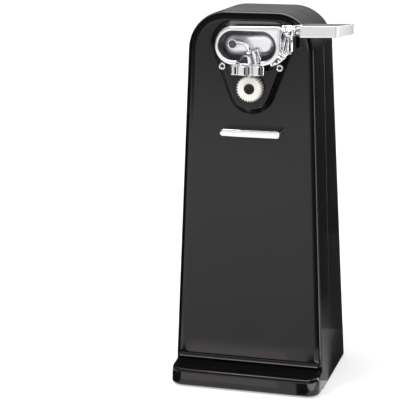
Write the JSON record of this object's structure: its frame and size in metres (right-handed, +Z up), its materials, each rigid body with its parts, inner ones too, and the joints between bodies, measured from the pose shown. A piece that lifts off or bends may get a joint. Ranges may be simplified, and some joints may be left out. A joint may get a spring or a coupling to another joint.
{
  "type": "electric can opener",
  "caption": "Tall tapered table-top electric can opener with a plated cutting lever, feed gear, magnet arm, rest bar and a geared motor drive inside.",
  "frame": {"origin": "centre of the whole object's footprint box on the table, at the underside of the feet", "axes": "+Z up, +X towards the lever's handle, -Y towards the user, so the cutting unit is on the -Y face"},
  "size_m": [0.1072, 0.1024, 0.2265],
  "materials": {
    "housing_black": "satin, fine texture",
    "shield_black": "smooth satin",
    "base_dark": "matt",
    "rubber": "matt",
    "bright_chrome": "bright plated die casting",
    "feed_metal": "nickel plated",
    "steel": "zinc plated",
    "core_steel": "stacked sheet",
    "dark_wire": "dark oxide",
    "nylon": "satin",
    "brass": "turned",
    "copper_wire": "enamelled wire",
    "magnet": "plain ferrite face"
  },
  "bodies": {
    "body": {"front_housing": "housing_black", "toe_cover": "housing_black", "rear_housing": "housing_black", "base_plate": "base_dark", "foot_front_left": "rubber", "foot_front_right": "rubber", "foot_rear_left": "rubber", "foot_rear_right": "rubber", "housing_screw_top_left": "steel", "housing_screw_top_right": "steel", "housing_screw_low_left": "steel", "housing_screw_low_right": "steel", "shield_plate": "shield_black", "rest_bar": "bright_chrome", "rim_stud_left": "bright_chrome", "rim_stud_right": "bright_chrome", "rim_wire": "dark_wire", "cord_gland": "rubber", "lever_bushing": "brass", "drive_bushing": "brass", "front_gear_plate": "steel", "rear_gear_plate": "steel", "frame_bolt_top_left": "steel", "frame_bolt_top_right": "steel", "frame_bolt_low_left": "steel", "frame_bolt_low_right": "steel", "idler_axle_upper": "steel", "idler_axle_lower": "steel", "motor_core": "core_steel", "coil_bobbin": "nylon", "coil_winding": "copper_wire", "motor_bracket_front": "steel", "motor_bracket_rear": "steel", "motor_bolt_left": "steel", "motor_bolt_right": "steel", "switch_body": "base_dark"},
    "lever": {"lever_body": "bright_chrome", "lever_shaft": "steel", "lever_cam": "steel", "cutter_guard": "bright_chrome", "cutter_blade": "steel", "blade_mount": "bright_chrome", "arm_bracket": "bright_chrome", "magnet_pin": "steel"},
    "latch": {"latch_button": "bright_chrome"},
    "magnet": {"magnet_arm": "bright_chrome", "magnet_cup": "bright_chrome", "magnet_disc": "magnet"},
    "plunger": {"switch_plunger": "nylon"},
    "drive": {"feed_gear": "feed_metal", "feed_screw": "dark_wire", "drive_shaft": "steel", "drive_gear": "nylon"},
    "upper_gear": {"upper_idler": "nylon"},
    "lower_gear": {"lower_idler": "nylon"},
    "rotor": {"motor_pinion": "brass", "rotor_shaft": "steel", "rotor_core": "core_steel", "motor_fan": "base_dark"}
  },
  "joints": [
    {"name": "lever_hinge", "type": "hinge", "parent": "body", "child": "lever", "pos_m": [-0.01267, -0.04321, 0.209], "axis": [0, -1, 0], "range_deg": [0, 28]},
    {"name": "magnet_swing", "type": "hinge", "parent": "lever", "child": "magnet", "pos_m": [-0.00467, -0.04671, 0.2052], "axis": [1, 0, 0], "range_deg": [0, 100]},
    {"name": "latch_press", "type": "slide", "parent": "lever", "child": "latch", "axis": [0, 1, 0], "range_m": [0, 0.001], "stiffness_N_per_m": 300, "springref_m": -0.001},
    {"name": "switch_press", "type": "slide", "parent": "body", "child": "plunger", "axis": [0, 0, 1], "range_m": [0, 0.0025]},
    {"name": "rotor_spin", "type": "hinge", "parent": "body", "child": "rotor", "pos_m": [-0.00567, 0.00879, 0.112], "axis": [0, 1, 0], "continuous": true},
    {"name": "lower_gear_spin", "type": "hinge", "parent": "body", "child": "lower_gear", "pos_m": [-0.00567, -0.00621, 0.1336], "axis": [0, 1, 0], "continuous": true},
    {"name": "upper_gear_spin", "type": "hinge", "parent": "body", "child": "upper_gear", "pos_m": [-0.00567, -0.01121, 0.1552], "axis": [0, 1, 0], "continuous": true},
    {"name": "drive_spin", "type": "hinge", "parent": "body", "child": "drive", "pos_m": [-0.00567, -0.02121, 0.1832], "axis": [0, 1, 0], "continuous": true}
  ],
  "couplings": [
    {"joint": "switch_press", "follows": "lever_hinge", "m_per_rad": 0.0048},
    {"joint": "lower_gear_spin", "follows": "rotor_spin", "ratio": -0.28571},
    {"joint": "upper_gear_spin", "follows": "rotor_spin", "ratio": 0.081633},
    {"joint": "drive_spin", "follows": "rotor_spin", "ratio": -0.022263}
  ]
}
